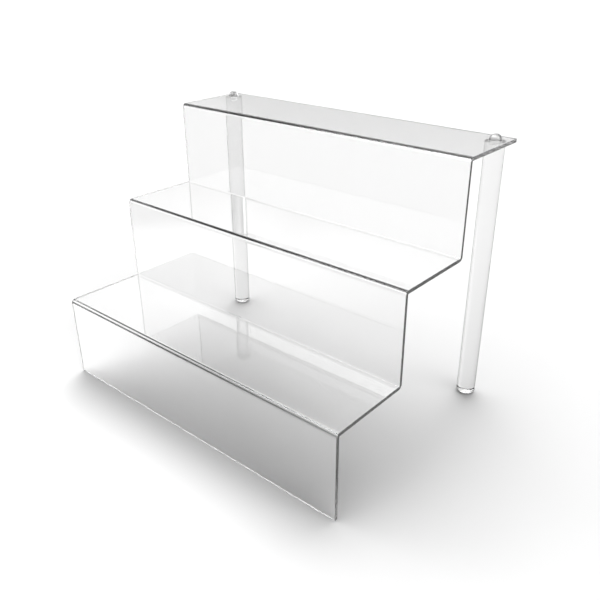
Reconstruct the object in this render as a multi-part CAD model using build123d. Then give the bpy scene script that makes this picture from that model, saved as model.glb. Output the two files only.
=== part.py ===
from build123d import *
import os

# Three-step riser: one sheet bent into stairs, held up at the back by two rods.
# Millimetres. +Z up, steps climb towards +Y.
# Origin: centre of the footprint, on the surface that the riser stands on.

# Bent sheet
WIDTH = 305.0
SHEET_THICKNESS = 3.0
RISES = (75.0, 76.2, 76.2)
GOINGS = (73.8, 73.8, 72.2)
BEND_INSIDE_RADIUS = 0.75
BEND_OUTSIDE_RADIUS = BEND_INSIDE_RADIUS + SHEET_THICKNESS
CUT_EDGE_CHAMFER = 0.2

DEPTH = sum(GOINGS)
TOP_HEIGHT = sum(RISES)
FRONT_Y = -DEPTH / 2

# Leg rods under the back of the top tread
LEG_DIAMETER = 15.9
LEG_HEIGHT = TOP_HEIGHT - SHEET_THICKNESS
LEG_X = 141.7
LEG_FROM_FRONT = 205.5
LEG_Y = FRONT_Y + LEG_FROM_FRONT
LEG_TOP_CHAMFER = 0.3
LEG_FOOT_ROUND = 2.0

# Dome-head screws that hold the sheet down on the rods
HEAD_DIAMETER = 9.8
HEAD_HEIGHT = HEAD_DIAMETER / 2
SHANK_DIAMETER = 5.0
SHANK_IN_LEG = 12.0
SHEET_HOLE_DIAMETER = 5.4
LEG_HOLE_DEPTH = 13.0

SIDES = {"left": -1, "right": 1}
UPRIGHT = (Align.CENTER, Align.CENTER, Align.MIN)
HANGING = (Align.CENTER, Align.CENTER, Align.MAX)


def stair_corners():
    """Corners of the front and top surface, from the foot of the front panel to the back edge."""
    y = FRONT_Y
    z = 0.0
    corners = [(y, z)]
    for rise, going in zip(RISES, GOINGS):
        z += rise
        corners.append((y, z))
        y += going
        corners.append((y, z))
    return corners


def stair_profile():
    """Side view of the bent sheet: constant thickness, every bend rounded on both faces."""
    shown = stair_corners()
    hidden = [(y + SHEET_THICKNESS, z - SHEET_THICKNESS) for y, z in shown]
    hidden[0] = (shown[0][0] + SHEET_THICKNESS, shown[0][1])
    hidden[-1] = (shown[-1][0], shown[-1][1] - SHEET_THICKNESS)
    outline = Polyline(*shown, *reversed(hidden), close=True)
    profile = make_face(outline)
    for number in range(1, len(shown) - 1):
        is_nose = number % 2 == 1
        shown_radius = BEND_OUTSIDE_RADIUS if is_nose else BEND_INSIDE_RADIUS
        hidden_radius = BEND_INSIDE_RADIUS if is_nose else BEND_OUTSIDE_RADIUS
        profile = fillet(vertex_at(profile, shown[number]), shown_radius)
        profile = fillet(vertex_at(profile, hidden[number]), hidden_radius)
    return profile


def vertex_at(profile, corner):
    return profile.vertices().sort_by_distance(Vector(*corner))[0]


def cut_edges(sheet):
    """Outlines of the four sawn faces: both sides, the foot of the front panel and the back edge."""
    sides = sheet.faces().filter_by(Axis.X).sort_by(Axis.X)
    foot = sheet.faces().sort_by(Axis.Z)[0]
    back = sheet.faces().sort_by(Axis.Y)[-1]
    edges = ShapeList()
    for face in (sides[0], sides[-1], foot, back):
        for edge in face.edges():
            if edge not in edges:
                edges.append(edge)
    return edges


def stepped_shelf():
    sheet = extrude(Plane.YZ * stair_profile(), amount=WIDTH / 2, both=True)
    sheet = chamfer(cut_edges(sheet), CUT_EDGE_CHAMFER)
    for side in SIDES.values():
        place = Pos(side * LEG_X, LEG_Y, TOP_HEIGHT - SHEET_THICKNESS / 2)
        sheet -= place * Cylinder(SHEET_HOLE_DIAMETER / 2, 2 * SHEET_THICKNESS)
    return sheet


def leg(side):
    """Solid rod with a rounded foot and a blind hole in its top end."""
    rod = Cylinder(LEG_DIAMETER / 2, LEG_HEIGHT, align=UPRIGHT)
    rims = rod.edges().filter_by(GeomType.CIRCLE).sort_by(Axis.Z)
    rod = chamfer(rims[-1], LEG_TOP_CHAMFER)
    foot_rim = rod.edges().filter_by(GeomType.CIRCLE).sort_by(Axis.Z)[0]
    rod = fillet(foot_rim, LEG_FOOT_ROUND)
    rod -= Pos(0, 0, LEG_HEIGHT) * Cylinder(SHANK_DIAMETER / 2, LEG_HOLE_DEPTH, align=HANGING)
    return Pos(side * LEG_X, LEG_Y, 0) * rod


def leg_screw(side):
    """Half-ball head on the top tread, with a plain shank down through the sheet into the rod."""
    above_tread = Cylinder(HEAD_DIAMETER, HEAD_DIAMETER, align=UPRIGHT)
    head = Sphere(HEAD_HEIGHT) & above_tread
    shank = Cylinder(SHANK_DIAMETER / 2, SHEET_THICKNESS + SHANK_IN_LEG, align=HANGING)
    return Pos(side * LEG_X, LEG_Y, TOP_HEIGHT) * (head + shank)


def riser_parts():
    parts = {"stepped_shelf": stepped_shelf()}
    for name, side in SIDES.items():
        parts[name + "_leg"] = leg(side)
        parts[name + "_leg_screw"] = leg_screw(side)
    return parts


os.makedirs("parts", exist_ok=True)
for node, shape in riser_parts().items():
    export_step(shape, "parts/" + node + ".step")
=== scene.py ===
import bpy
import bmesh
import math
from mathutils import Matrix, Vector


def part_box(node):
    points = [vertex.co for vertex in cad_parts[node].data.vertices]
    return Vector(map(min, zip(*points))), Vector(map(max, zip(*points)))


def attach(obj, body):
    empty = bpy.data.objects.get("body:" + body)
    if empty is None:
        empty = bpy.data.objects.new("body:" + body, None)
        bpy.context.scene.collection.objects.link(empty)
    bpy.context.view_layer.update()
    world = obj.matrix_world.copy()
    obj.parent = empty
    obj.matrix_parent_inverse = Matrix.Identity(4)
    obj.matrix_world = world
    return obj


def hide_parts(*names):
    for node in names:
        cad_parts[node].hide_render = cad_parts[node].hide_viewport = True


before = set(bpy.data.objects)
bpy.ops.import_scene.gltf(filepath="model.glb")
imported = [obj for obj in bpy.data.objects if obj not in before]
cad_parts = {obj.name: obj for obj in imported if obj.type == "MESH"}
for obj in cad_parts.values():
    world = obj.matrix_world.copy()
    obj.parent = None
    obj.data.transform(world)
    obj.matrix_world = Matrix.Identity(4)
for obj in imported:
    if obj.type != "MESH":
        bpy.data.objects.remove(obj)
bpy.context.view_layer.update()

MM = 0.001

# Where the sheet is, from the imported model
SHEET_LOW, SHEET_HIGH = (Vector(corner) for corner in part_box("stepped_shelf"))
WIDTH = SHEET_HIGH.x - SHEET_LOW.x
FRONT_Y = SHEET_LOW.y
TREAD_TOP = SHEET_HIGH.z

# The bent sheet, measured over its front and top faces
THICKNESS = 3.0 * MM
RISES = (75.0 * MM, 76.2 * MM, 76.2 * MM)
GOINGS = (73.8 * MM, 73.8 * MM, 72.2 * MM)
BEND_INSIDE = 0.75 * MM
BEND_OUTSIDE = BEND_INSIDE + THICKNESS
BEND_STEPS = 16
EDGE_ROUND = 0.25 * MM
EDGE_STEPS = 4

# Rods and dome heads
FOOT_ROUND = 2.0 * MM
FOOT_STEPS = 12
ROD_TOP_CHAMFER = 0.3 * MM
ROD_TOP_GAP = 0.05 * MM
DOME_SKIRT = 0.3 * MM
DOME_STEPS = 24
ROUND_SEGMENTS = 96

# Which of its piece's materials a face has
FACES, CUT_ENDS, FREE_EDGES = 0, 1, 2
ROD_SIDE, ROD_FOOT, ROD_TOP = 0, 1, 2

# Every mesh: points this close are one, edges under this angle are smooth
SAME_POINT = 0.0005 * MM
SMOOTH_BELOW = math.radians(30)
LARGE_FACE_WEIGHT = 100

# How clear acrylic behaves. The rods' and domes' colours and the rods' reflections also carry painted
# shade.
ACRYLIC_IOR = 1.49
WHITE = (1.0, 1.0, 1.0, 1.0)
SHEET_TINT = (0.90, 0.90, 0.90, 1.0)
# The rods' colour: partly the acrylic's own tint, partly painted shade that makes the rods greyer than the
# sheet
ROD_TINT_AND_PAINTED_SHADE = (0.84, 0.84, 0.84, 1.0)
# Painted shade on the rods' reflections: a dimmed specular tint stands in for the shadowed floor they
# would mirror
ROD_REFLECTION_PAINTED_SHADE = (0.25, 0.25, 0.25, 1.0)
# The domes' colour: partly the acrylic's own tint, mostly painted shade that darkens the dome heads
DOME_TINT_AND_PAINTED_SHADE = (0.60, 0.60, 0.60, 1.0)
CUT_EDGE_TINT = (0.92, 0.92, 0.92, 1.0)
CUT_EDGE_HAZE = 0.12
CUT_EDGE_ROUGHNESS = 0.08
FREE_EDGE_HAZE = 0.28
FREE_EDGE_ROUGHNESS = 0.4
FOOT_ROUGHNESS = 0.65
ROD_TOP_ROUGHNESS = 1.0

# Fine marks on the surfaces. Levels are values of a noise texture, which are mostly from 0.3 to 0.7.
NOISE_LEVELS = (0.3, 0.7)
POLISH_ROUGHNESS = 0.02
SAW_GRAIN = 0.4 * MM
SAW_GRAIN_SPREAD = 0.1
SAW_STREAK = 0.5 * MM
SAW_SLANT = (1, 1, 1)
SAW_ROUGHNESS_SPREAD = 0.2
SAW_HAZE_SPREAD = 0.1
HAIRLINE_SPACING = 0.8 * MM
HAIRLINE_STRETCH = (0.03, 1.0, 1.0)
HAIRLINE_LEVEL = 0.7
HAIRLINE_ROUGHNESS = 0.08
WAVE_LENGTH = 60 * MM
WAVE_HEIGHT = 0.05 * MM
WAVE_STRENGTH = 0.2
DIE_LINE_SPACING = 3.0 * MM
DIE_LINE_STRETCH = (1.0, 1.0, 0.02)
DIE_LINE_HEIGHT = 0.02 * MM
DIE_LINE_STRENGTH = 0.1
DIE_LINE_LEVELS = (0.55, 0.75)
RIPPLE_SIZE = 3.0 * MM
RIPPLE_HEIGHT = 0.02 * MM
RIPPLE_STRENGTH = 0.1
RIPPLE_LEVELS = (0.5, 0.8)

# Size of the product of a normal's y and z, which tells a bend from a flat face
SLOPE_IN_BEND = 0.02
SLOPE_ON_FLAT = 0.001

# Camera: its distance and its aim go by the riser's width. Angles are in degrees, and azimuth 0 looks
# straight at the front. Lens and sensor are in mm.
CAMERA_AZIMUTH = 40.85
CAMERA_ELEVATION = 26.69
CAMERA_ROLL = -0.35
CAMERA_DISTANCE = 1.931 * WIDTH
CAMERA_AIM = Vector((0.0963 * WIDTH, FRONT_Y + 0.350 * WIDTH, 0.3034 * WIDTH))
CAMERA_LENS = 41.73
CAMERA_SENSOR = 36.0
CAMERA_NEAR = 0.01
CAMERA_FAR = 100.0

# Soft lights painted on the sky: azimuth from +X towards +Y, elevation, half width (degrees), strength.
# The negative ones are black cards that keep light away. Each is full over LIGHT_CORE of its half width.
SKY_BASE = 1.6
SKY_LIGHTS = {
    "back_softbox": (130, 50, 35, 2.5),
    "top_softbox": (100, 60, 35, 1.8),
    "left_softbox": (190, 22, 25, 3.8),
    "front_right_softbox": (340, 5, 50, 3.6),
    "card_over_camera": (315, 52, 38, -3.5),
    "card_on_the_right": (60, 28, 37, -1.9),
    "back_horizon_card": (155, 15, 80, -0.9),
    "back_left_strip": (143, 19, 12, 0.5),
}
LIGHT_CORE = 0.4

# How bright the sky is where the camera sees it directly
SKY_SEEN = 1.4

# What the risers mirror from below the horizon: a lit patch of floor to the left of the camera.
# "none" is where it has faded out and "full" where it is brightest, in degrees, or cosines in BOUNCE_FADE.
BOUNCE_STRENGTH = 3.5
BOUNCE_FADE = {"azimuth": 180, "none": 0.15, "full": 0.8}
BOUNCE_WINDOW = {"azimuth": 226, "none": 40, "full": 25}
BOUNCE_STEEPNESS = {"none": -19, "full": -21.5}
NEAR_BOUNCE_STRENGTH = 0.6
NEAR_BOUNCE_WINDOW = {"azimuth": 235, "none": 25, "full": 10}
NEAR_BOUNCE_STEEPNESS = {"none": -32, "full": -36}

# A small bright light that is seen only in reflections: azimuth, elevation, half width, strength
HIGHLIGHT = (206, 56, 12, 12.0)

# The floor's colour carries painted light and shade: a painted pool of light in front of the riser lifts
# the shadow there, and painted shade makes the floor a little greyer further off
FLOOR_SIZE = 60.0
FLOOR_GAP = 0.4 * MM
FLOOR_PAINTED_LIGHT_SPOT = (-0.02, -0.22, 0.0)
FLOOR_NEAR_PAINTED_LIGHT = (0.92, 0.92, 0.92, 1.0)
FLOOR_FAR_PAINTED_SHADE = (0.762, 0.762, 0.762, 1.0)
FLOOR_NEAR_RADIUS = 0.04
FLOOR_FAR_RADIUS = 0.26

# Light paths: how far they go through the clear parts, and the brightest indirect light, against specks
LIGHT_BOUNCES = 12
CLEAR_BOUNCES = 32
INDIRECT_LIMIT = 6.0


# ---------------------------------------------------------------- node helpers

class Nodes:
    """Short forms for building a node tree."""

    def __init__(self, tree):
        self.tree = tree
        tree.nodes.clear()

    def add(self, kind, **settings):
        node = self.tree.nodes.new(kind)
        for name, value in settings.items():
            setattr(node, name, value)
        return node

    def feed(self, socket, value):
        if isinstance(value, bpy.types.NodeSocket):
            self.tree.links.new(value, socket)
        elif value is not None:
            socket.default_value = value

    def math(self, operation, first, second=None):
        node = self.add("ShaderNodeMath", operation=operation)
        for socket, value in zip(node.inputs, (first, second)):
            self.feed(socket, value)
        return node.outputs[0]

    def vector(self, operation, first, second=None, output="Vector"):
        node = self.add("ShaderNodeVectorMath", operation=operation)
        for socket, value in zip(node.inputs, (first, second)):
            self.feed(socket, value)
        return node.outputs[output]

    def mix(self, data_type, factor, first, second):
        """first where factor is 0, second where it is 1. Only this data type's sockets are enabled."""
        node = self.add("ShaderNodeMix", data_type=data_type)
        in_use = [socket for socket in node.inputs if socket.enabled]
        for socket, value in zip(in_use, (factor, first, second)):
            self.feed(socket, value)
        return next(socket for socket in node.outputs if socket.enabled)

    def smooth(self, value, low, high, out_low=0.0, out_high=1.0, shape="SMOOTHSTEP"):
        """out_low where value is low, out_high where it is high, and eased between them."""
        node = self.add("ShaderNodeMapRange", interpolation_type=shape)
        for name, number in (("Value", value), ("From Min", low), ("From Max", high),
                             ("To Min", out_low), ("To Max", out_high)):
            self.feed(node.inputs[name], number)
        return node.outputs[0]

    def noise(self, where, scale, detail=2.0):
        node = self.add("ShaderNodeTexNoise", noise_dimensions="3D")
        self.feed(node.inputs["Vector"], where)
        self.feed(node.inputs["Scale"], scale)
        self.feed(node.inputs["Detail"], detail)
        return node.outputs[0]

    def bump(self, height, distance, strength):
        node = self.add("ShaderNodeBump")
        self.feed(node.inputs["Height"], height)
        self.feed(node.inputs["Distance"], distance)
        self.feed(node.inputs["Strength"], strength)
        return node.outputs[0]


def new_material(name):
    material = bpy.data.materials.new(name)
    material.use_nodes = True
    return material, Nodes(material.node_tree)


def finish_material(nodes, shader):
    out = nodes.add("ShaderNodeOutputMaterial")
    nodes.feed(out.inputs["Surface"], shader.outputs[0])


def cosine(degrees):
    return math.cos(math.radians(degrees))


def sine(degrees):
    return math.sin(math.radians(degrees))


def direction(azimuth, elevation):
    """The unit vector towards a place in the sky, in degrees from +X towards +Y, and up."""
    level = cosine(elevation)
    return Vector((level * cosine(azimuth), level * sine(azimuth), sine(elevation)))


# ---------------------------------------------------------------- stage

def make_camera():
    back = Vector((sine(CAMERA_AZIMUTH) * cosine(CAMERA_ELEVATION),
                   -cosine(CAMERA_AZIMUTH) * cosine(CAMERA_ELEVATION),
                   sine(CAMERA_ELEVATION)))
    right = Vector((0, 0, 1)).cross(back).normalized()
    up = back.cross(right)
    turn = Matrix.Rotation(math.radians(CAMERA_ROLL), 4, "Z")
    pose = Matrix((right, up, back)).transposed().to_4x4() @ turn
    pose.translation = CAMERA_AIM + back * CAMERA_DISTANCE
    data = bpy.data.cameras.new("camera")
    data.sensor_width = CAMERA_SENSOR
    data.lens = CAMERA_LENS
    data.clip_start = CAMERA_NEAR
    data.clip_end = CAMERA_FAR
    camera = bpy.data.objects.new("camera", data)
    bpy.context.scene.collection.objects.link(camera)
    camera.matrix_world = pose
    bpy.context.scene.camera = camera


def soft_light(nodes, where, azimuth, elevation, half_width, strength):
    """A round light, full in the middle and fading to its rim."""
    dot = nodes.vector("DOT_PRODUCT", where, direction(azimuth, elevation), output="Value")
    return nodes.smooth(dot, cosine(half_width), cosine(LIGHT_CORE * half_width), 0.0, strength)


def sky_above(nodes, where, path):
    """The soft lights and black cards over the horizon, and the highlight that only reflections get."""
    total = SKY_BASE
    for light in SKY_LIGHTS.values():
        total = nodes.math("ADD", total, soft_light(nodes, where, *light))
    above = nodes.math("MAXIMUM", total, 0.0)
    highlight = soft_light(nodes, where, *HIGHLIGHT)
    reflected = nodes.math("MULTIPLY", highlight, path.outputs["Is Glossy Ray"])
    return nodes.math("ADD", above, reflected)


def azimuth_window(nodes, where, window):
    """1 near an azimuth, fading to 0 further round."""
    level = nodes.vector("NORMALIZE", nodes.vector("MULTIPLY", where, (1, 1, 0)))
    dot = nodes.vector("DOT_PRODUCT", level, direction(window["azimuth"], 0), output="Value")
    return nodes.smooth(dot, cosine(window["none"]), cosine(window["full"]))


def steepness_window(nodes, height, steepness):
    """1 for directions that look down more steeply than an angle, 0 for shallower ones."""
    return nodes.smooth(height, sine(steepness["none"]), sine(steepness["full"]))


def bounce_below(nodes, where, height):
    """The lit floor that the risers mirror, and its brighter part that is seen more steeply."""
    dot = nodes.vector("DOT_PRODUCT", where, direction(BOUNCE_FADE["azimuth"], 0), output="Value")
    fade = nodes.smooth(dot, BOUNCE_FADE["none"], BOUNCE_FADE["full"], 0.0, BOUNCE_STRENGTH)
    wide = nodes.math("MULTIPLY", azimuth_window(nodes, where, BOUNCE_WINDOW),
                      steepness_window(nodes, height, BOUNCE_STEEPNESS))
    near = nodes.math("MULTIPLY", azimuth_window(nodes, where, NEAR_BOUNCE_WINDOW),
                      steepness_window(nodes, height, NEAR_BOUNCE_STEEPNESS))
    return nodes.math("ADD", nodes.math("MULTIPLY", wide, fade),
                      nodes.math("MULTIPLY", near, NEAR_BOUNCE_STRENGTH))


def make_sky():
    world = bpy.data.worlds.new("studio")
    world.use_nodes = True
    bpy.context.scene.world = world
    nodes = Nodes(world.node_tree)
    where = nodes.add("ShaderNodeTexCoord").outputs["Generated"]
    split = nodes.add("ShaderNodeSeparateXYZ")
    nodes.feed(split.inputs[0], where)
    height = split.outputs["Z"]
    is_above = nodes.math("GREATER_THAN", height, 0.0)
    is_below = nodes.math("SUBTRACT", 1.0, is_above)
    path = nodes.add("ShaderNodeLightPath")
    light = nodes.math("ADD", nodes.math("MULTIPLY", sky_above(nodes, where, path), is_above),
                       nodes.math("MULTIPLY", bounce_below(nodes, where, height), is_below))
    seen = nodes.mix("FLOAT", path.outputs["Is Camera Ray"], light, SKY_SEEN)
    background = nodes.add("ShaderNodeBackground")
    nodes.feed(background.inputs["Strength"], seen)
    finish = nodes.add("ShaderNodeOutputWorld")
    nodes.feed(finish.inputs["Surface"], background.outputs[0])


def floor_material():
    material, nodes = new_material("floor_with_painted_light_and_shade")
    where = nodes.add("ShaderNodeTexCoord").outputs["Object"]
    # Painted light near the spot in front of the riser, fading to painted shade further off
    away = nodes.vector("DISTANCE", where, FLOOR_PAINTED_LIGHT_SPOT, output="Value")
    far = nodes.smooth(away, FLOOR_NEAR_RADIUS, FLOOR_FAR_RADIUS, shape="LINEAR")
    matt = nodes.add("ShaderNodeBsdfDiffuse")
    nodes.feed(matt.inputs["Color"], nodes.mix("RGBA", far, FLOOR_NEAR_PAINTED_LIGHT, FLOOR_FAR_PAINTED_SHADE))
    finish_material(nodes, matt)
    return material


def make_floor():
    bpy.ops.mesh.primitive_plane_add(size=FLOOR_SIZE, location=(0, 0, -FLOOR_GAP))
    floor = bpy.context.object
    floor.name = "floor"
    floor.data.materials.append(floor_material())
    floor.visible_glossy = False


# ---------------------------------------------------------------- materials

def acrylic_shader(nodes, tint_and_shade, reflection_shade=WHITE):
    shader = nodes.add("ShaderNodeBsdfPrincipled")
    # The base colour is the acrylic's tint, with painted shade in it for the rods and domes; a specular
    # tint below white is painted shade on the reflections
    shader.inputs["Base Color"].default_value = tint_and_shade
    shader.inputs["IOR"].default_value = ACRYLIC_IOR
    shader.inputs["Roughness"].default_value = 0.0
    shader.inputs["Specular Tint"].default_value = reflection_shade
    shader.inputs["Transmission Weight"].default_value = 1.0
    return shader


def hairlines(nodes, where):
    """1 on sparse hairline scratches that run across the width, 0 elsewhere."""
    stretched = nodes.vector("MULTIPLY", where, HAIRLINE_STRETCH)
    strokes = nodes.noise(stretched, 1.0 / HAIRLINE_SPACING, detail=1.0)
    return nodes.smooth(strokes, HAIRLINE_LEVEL, 1.0)


def sheet_material():
    """The polished faces: a trace of rolling waviness and hairlines, with none of it in the bends."""
    material, nodes = new_material("clear_sheet")
    shader = acrylic_shader(nodes, SHEET_TINT)
    places = nodes.add("ShaderNodeTexCoord")
    normal = nodes.add("ShaderNodeSeparateXYZ")
    nodes.feed(normal.inputs[0], places.outputs["Normal"])
    slope = nodes.math("ABSOLUTE", nodes.math("MULTIPLY", normal.outputs["Y"], normal.outputs["Z"]))
    flat = nodes.smooth(slope, SLOPE_IN_BEND, SLOPE_ON_FLAT)
    scratch = nodes.math("MULTIPLY", hairlines(nodes, places.outputs["Object"]), flat)
    nodes.feed(shader.inputs["Roughness"], nodes.math("MULTIPLY", scratch, HAIRLINE_ROUGHNESS))
    wave = nodes.noise(places.outputs["Object"], 1.0 / WAVE_LENGTH, detail=0.0)
    strength = nodes.math("MULTIPLY", flat, WAVE_STRENGTH)
    nodes.feed(shader.inputs["Normal"], nodes.bump(wave, WAVE_HEIGHT, strength))
    finish_material(nodes, shader)
    return material


def cut_edge_material():
    """The sheet's sawn and flamed ends: nearly polished, slightly milky, with slanting saw streaks."""
    material, nodes = new_material("sheet_cut_edge")
    shader = acrylic_shader(nodes, CUT_EDGE_TINT)
    where = nodes.add("ShaderNodeTexCoord").outputs["Object"]
    line = nodes.add("ShaderNodeCombineXYZ")
    nodes.feed(line.inputs[0], nodes.vector("DOT_PRODUCT", where, SAW_SLANT, output="Value"))
    streak = nodes.noise(line.outputs[0], 1.0 / SAW_STREAK)
    roughness = [CUT_EDGE_ROUGHNESS * (1 + sign * SAW_ROUGHNESS_SPREAD) for sign in (-1, 1)]
    clear = [1.0 - CUT_EDGE_HAZE * (1 + sign * SAW_HAZE_SPREAD) for sign in (-1, 1)]
    nodes.feed(shader.inputs["Roughness"], nodes.smooth(streak, *NOISE_LEVELS, *roughness))
    nodes.feed(shader.inputs["Transmission Weight"], nodes.smooth(streak, *NOISE_LEVELS, *clear))
    finish_material(nodes, shader)
    return material


def rod_material():
    """Extruded rod: faint lengthwise die lines."""
    material, nodes = new_material("clear_rod")
    # The rod's colour is partly painted shade, and its reflections are dimmed with painted shade
    shader = acrylic_shader(nodes, ROD_TINT_AND_PAINTED_SHADE, ROD_REFLECTION_PAINTED_SHADE)
    where = nodes.vector("MULTIPLY", nodes.add("ShaderNodeTexCoord").outputs["Object"], DIE_LINE_STRETCH)
    lines = nodes.noise(where, 1.0 / DIE_LINE_SPACING, detail=1.0)
    nodes.feed(shader.inputs["Normal"], nodes.bump(lines, DIE_LINE_HEIGHT, DIE_LINE_STRENGTH))
    nodes.feed(shader.inputs["Roughness"], nodes.smooth(lines, *DIE_LINE_LEVELS, 0.0, POLISH_ROUGHNESS))
    finish_material(nodes, shader)
    return material


def sawn_material(name, tint_and_shade, roughness, haze=0.0):
    """A sawn end: fine satin grain, a little milky where it has haze."""
    material, nodes = new_material(name)
    shader = acrylic_shader(nodes, tint_and_shade)
    shader.inputs["Transmission Weight"].default_value = 1.0 - haze
    grain = nodes.noise(nodes.add("ShaderNodeTexCoord").outputs["Object"], 1.0 / SAW_GRAIN)
    smoothest = (1 - SAW_GRAIN_SPREAD) * roughness
    nodes.feed(shader.inputs["Roughness"], nodes.smooth(grain, *NOISE_LEVELS, smoothest, roughness))
    finish_material(nodes, shader)
    return material


def dome_material():
    """Moulded screw head: a slight flow ripple in the dome."""
    material, nodes = new_material("clear_screw")
    # The dome's colour is mostly painted shade
    shader = acrylic_shader(nodes, DOME_TINT_AND_PAINTED_SHADE)
    where = nodes.add("ShaderNodeTexCoord").outputs["Object"]
    ripple = nodes.noise(where, 1.0 / RIPPLE_SIZE, detail=0.0)
    nodes.feed(shader.inputs["Normal"], nodes.bump(ripple, RIPPLE_HEIGHT, RIPPLE_STRENGTH))
    nodes.feed(shader.inputs["Roughness"], nodes.smooth(ripple, *RIPPLE_LEVELS, 0.0, POLISH_ROUGHNESS))
    finish_material(nodes, shader)
    return material


# ---------------------------------------------------------------- mesh helpers

def new_piece(name, bm, materials):
    """An object from a finished bmesh. Materials are in the order that its faces number them."""
    bmesh.ops.remove_doubles(bm, verts=bm.verts, dist=SAME_POINT)
    bmesh.ops.recalc_face_normals(bm, faces=bm.faces)
    for face in bm.faces:
        face.smooth = True
    for edge in bm.edges:
        edge.smooth = edge.calc_face_angle(0.0) < SMOOTH_BELOW
    mesh = bpy.data.meshes.new(name)
    bm.to_mesh(mesh)
    bm.free()
    for material in materials:
        mesh.materials.append(material)
    piece = bpy.data.objects.new(name, mesh)
    bpy.context.scene.collection.objects.link(piece)
    return piece


def flat_faces_stay_flat(piece):
    """Large faces keep their own normals, so that rounding beside them doesn't bend what they mirror."""
    weighted = piece.modifiers.new("weighted_normal", "WEIGHTED_NORMAL")
    weighted.mode = "FACE_AREA"
    weighted.weight = LARGE_FACE_WEIGHT
    weighted.keep_sharp = True


def quarter(steps):
    """Angles from 0 to 90 degrees, in radians."""
    return [math.pi / 2 * step / steps for step in range(steps + 1)]


def lathe(name, profile, centre, materials, bands):
    """A turned solid from (radius, height) points that start and end on the axis.

    bands gives the material number of each run from one point to the next.
    """
    bm = bmesh.new()
    rings = []
    for radius, height in profile:
        ring = []
        for step in range(ROUND_SEGMENTS if radius else 1):
            angle = 2 * math.pi * step / ROUND_SEGMENTS
            ring.append(bm.verts.new((centre.x + radius * math.cos(angle),
                                      centre.y + radius * math.sin(angle), height)))
        rings.append(ring)
    for band, under, over in zip(bands, rings, rings[1:]):
        for step in range(ROUND_SEGMENTS):
            after = step + 1
            corners = []
            for ring, place in ((under, step), (under, after), (over, after), (over, step)):
                vert = ring[place % len(ring)]
                if vert not in corners:
                    corners.append(vert)
            bm.faces.new(corners).material_index = band
    return new_piece(name, bm, materials)


# ---------------------------------------------------------------- bent sheet

def sheet_stations():
    """(place, normal) along the front and top faces, in the side view (y, z), from foot to back edge."""
    y = FRONT_Y
    z = 0.0
    stations = [(Vector((y, z)), Vector((-1, 0)))]
    for step, (rise, going) in enumerate(zip(RISES, GOINGS)):
        z += rise
        nose = Vector((y + BEND_OUTSIDE, z - BEND_OUTSIDE))
        for angle in quarter(BEND_STEPS):
            normal = Vector((-math.cos(angle), math.sin(angle)))
            stations.append((nose + BEND_OUTSIDE * normal, normal))
        y += going
        if step + 1 == len(RISES):
            break
        hollow = Vector((y - BEND_INSIDE, z + BEND_INSIDE))
        for angle in quarter(BEND_STEPS):
            normal = Vector((-math.sin(angle), math.cos(angle)))
            stations.append((hollow - BEND_INSIDE * normal, normal))
    stations.append((Vector((y, z)), Vector((0, 1))))
    return stations


def sheet_loop(inset):
    """Points round the side view, drawn in by inset, with its four free corners rounded by EDGE_ROUND."""
    stations = sheet_stations()
    foot, back = stations[0], stations[-1]
    radius = EDGE_ROUND - inset
    points = []
    for angle in reversed(quarter(EDGE_STEPS)):
        from_end = inset + radius * (1 - math.sin(angle))
        depth = inset + radius * (1 - math.cos(angle))
        points.append((foot[0] + Vector((0, from_end)), foot[1], depth))
    points += [(place, normal, inset) for place, normal in stations[1:-1]]
    for angle in quarter(EDGE_STEPS):
        from_end = inset + radius * (1 - math.sin(angle))
        depth = inset + radius * (1 - math.cos(angle))
        points.append((back[0] - Vector((from_end, 0)), back[1], depth))
    outside = [place - depth * normal for place, normal, depth in points]
    inside = [place - (THICKNESS - depth) * normal for place, normal, depth in points]
    return outside + inside[::-1]


def places_across():
    """(x, inset) from left to right, with the inset that rounds the left and right ends by EDGE_ROUND."""
    half = WIDTH / 2
    places = [(-half + EDGE_ROUND * (1 - math.sin(angle)), EDGE_ROUND * (1 - math.cos(angle)))
              for angle in reversed(quarter(EDGE_STEPS))]
    return places + [(-x, inset) for x, inset in reversed(places)]


def make_sheet(materials):
    """The loop of the side view, carried across the width."""
    bm = bmesh.new()
    rings = []
    for x, inset in places_across():
        rings.append([bm.verts.new((x, y, z)) for y, z in sheet_loop(inset)])
    count = len(rings[0])
    across = len(rings) // 2
    for number, (left, right) in enumerate(zip(rings, rings[1:]), 1):
        for here in range(count):
            after = (here + 1) % count
            face = bm.faces.new((left[here], left[after], right[after], right[here]))
            if number != across:
                face.material_index = CUT_ENDS
            elif here % (count // 2) == count // 2 - 1:
                face.material_index = FREE_EDGES
            else:
                face.material_index = FACES
    for ring in (rings[0], rings[-1]):
        for here in range(count // 2 - 1):
            facing = count - 1 - here
            end = bm.faces.new((ring[here], ring[here + 1], ring[facing - 1], ring[facing]))
            end.material_index = CUT_ENDS
    return new_piece("bent_sheet", bm, materials)


# ---------------------------------------------------------------- rods and domes

def box_corners(node):
    """The low and high corners of a CAD node's box."""
    return [Vector(corner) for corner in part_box(node)]


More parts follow.
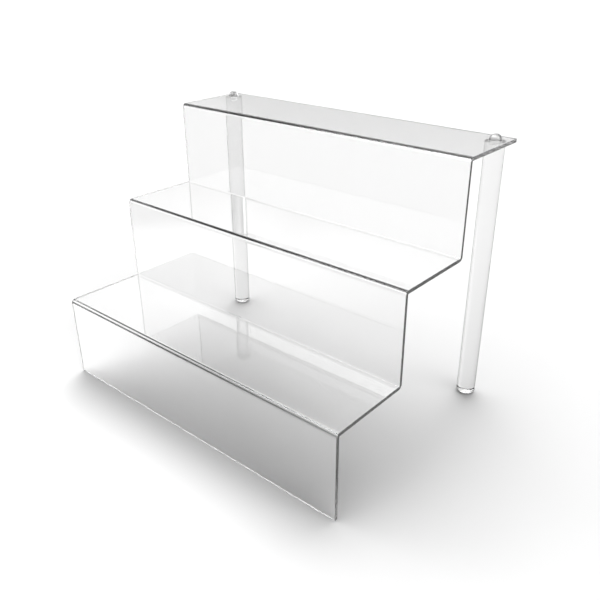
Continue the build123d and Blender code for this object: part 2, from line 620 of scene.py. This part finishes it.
def make_leg(side, materials):
    """A clear rod from its rounded foot to just under the tread."""
    node = side + "_leg"
    low, high = box_corners(node)
    radius = (high.x - low.x) / 2
    top = high.z - ROD_TOP_GAP
    profile = [(0, low.z)]
    for angle in quarter(FOOT_STEPS):
        profile.append((radius - FOOT_ROUND * (1 - math.sin(angle)),
                        low.z + FOOT_ROUND * (1 - math.cos(angle))))
    for angle in reversed(quarter(FOOT_STEPS)):
        profile.append((radius - ROD_TOP_CHAMFER * (1 - math.sin(angle)),
                        top - ROD_TOP_CHAMFER * (1 - math.cos(angle))))
    profile.append((0, top))
    bands = [ROD_FOOT] + [ROD_SIDE] * (len(profile) - 3) + [ROD_TOP]
    piece = lathe(side + "_leg_rod", profile, (low + high) / 2, materials, bands)
    flat_faces_stay_flat(piece)
    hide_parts(node)
    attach(piece, "root")


def make_dome(side, material):
    """The screw's half ball head. Its skirt goes a little way into the tread, so no gap shows."""
    node = side + "_leg_screw"
    low, high = box_corners(node)
    radius = high.z - TREAD_TOP
    profile = [(0, TREAD_TOP - DOME_SKIRT), (radius, TREAD_TOP - DOME_SKIRT)]
    for angle in quarter(DOME_STEPS)[:-1]:
        profile.append((radius * math.cos(angle), TREAD_TOP + radius * math.sin(angle)))
    profile.append((0, TREAD_TOP + radius))
    bands = [0] * (len(profile) - 1)
    piece = lathe(side + "_dome_head", profile, (low + high) / 2, [material], bands)
    flat_faces_stay_flat(piece)
    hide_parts(node)
    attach(piece, "root")


def set_up_light_paths():
    """Caustics are off, so the clear parts cast soft grey shadows."""
    scene = bpy.context.scene
    scene.view_settings.view_transform = "Standard"
    scene.cycles.caustics_refractive = False
    scene.cycles.caustics_reflective = False
    scene.cycles.max_bounces = LIGHT_BOUNCES
    scene.cycles.transmission_bounces = CLEAR_BOUNCES
    scene.cycles.glossy_bounces = CLEAR_BOUNCES
    scene.cycles.transparent_max_bounces = CLEAR_BOUNCES
    scene.cycles.use_denoising = True
    scene.cycles.sample_clamp_indirect = INDIRECT_LIMIT


def make_shelf():
    free_edge = sawn_material("sheet_free_edge", SHEET_TINT, FREE_EDGE_ROUGHNESS, FREE_EDGE_HAZE)
    sheet = make_sheet([sheet_material(), cut_edge_material(), free_edge])
    flat_faces_stay_flat(sheet)
    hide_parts("stepped_shelf")
    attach(sheet, "root")


make_camera()
make_sky()
make_floor()
make_shelf()
# The rods' foot shares their colour, with its painted shade
rod_materials = [rod_material(),
                 sawn_material("rod_foot", ROD_TINT_AND_PAINTED_SHADE, FOOT_ROUGHNESS),
                 sawn_material("rod_top", WHITE, ROD_TOP_ROUGHNESS)]
clear_dome = dome_material()
for side in ("left", "right"):
    make_leg(side, rod_materials)
    make_dome(side, clear_dome)
set_up_light_paths()
